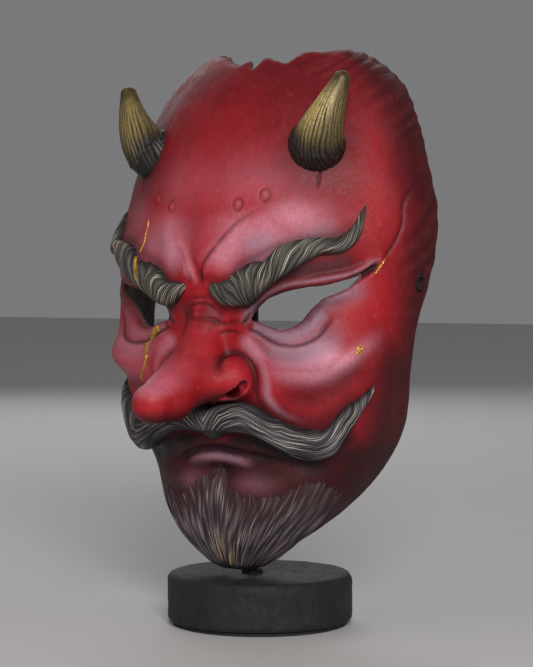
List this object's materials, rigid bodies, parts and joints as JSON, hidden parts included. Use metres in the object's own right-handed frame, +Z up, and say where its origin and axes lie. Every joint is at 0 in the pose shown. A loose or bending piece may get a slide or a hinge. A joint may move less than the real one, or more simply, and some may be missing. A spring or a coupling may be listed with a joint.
{
  "type": "long-nosed demon mask on a display stand",
  "caption": "Wearable red demon mask with a long drooping nose, horns, brushed hair and gold seams, hung on a post over a round base.",
  "frame": {"origin": "centre of the stand's foot pad, on the surface that it stands on", "axes": "+Z up, the face looks along -Y, +X is on the right of someone who faces the mask"},
  "size_m": [0.166, 0.1314, 0.2701],
  "materials": {
    "red_resin": "airbrushed satin red over cast resin, darkened towards the rim",
    "horn": "dark grooves under dry-brushed ochre gold",
    "hair": "sculpted strands, black-brown under dry-brushed grey gold",
    "gold": "raised gold paint",
    "bush": "pale worn edge",
    "base_paint": "matte black paint, hand-cut edge",
    "steel": "drawn bar and zinc-plated screws",
    "black_plastic": "moulded",
    "rubber": "soft matte",
    "foam": "cloth-faced foam"
  },
  "bodies": {
    "stand": {"stand_base": "base_paint", "stand_foot_pad": "rubber", "stand_post": "steel", "post_collar": "black_plastic", "base_screw": "steel", "crown_rest": "black_plastic", "crown_pad": "rubber", "chin_arm": "black_plastic", "chin_arm_screw": "steel", "chin_bumper": "rubber"},
    "mask": {"face_shell": "red_resin", "left_horn": "horn", "right_horn": "horn", "horn_screws": "steel", "horn_washers": "steel", "left_eyebrow": "hair", "right_eyebrow": "hair", "left_moustache": "hair", "right_moustache": "hair", "beard": "hair", "gold_forehead_seam": "gold", "gold_brow_seam": "gold", "gold_cheek_seam": "gold", "gold_eye_seam": "gold", "gold_cheek_cross": "gold", "left_strap_bush": "bush", "right_strap_bush": "bush", "forehead_pad": "foam", "left_cheek_pad": "foam", "right_cheek_pad": "foam"}
  },
  "joints": [
    {"name": "mask_lift_off", "type": "slide", "parent": "stand", "child": "mask", "axis": [0, -0.7071, 0.7071], "range_m": [0, 0.15]}
  ]
}
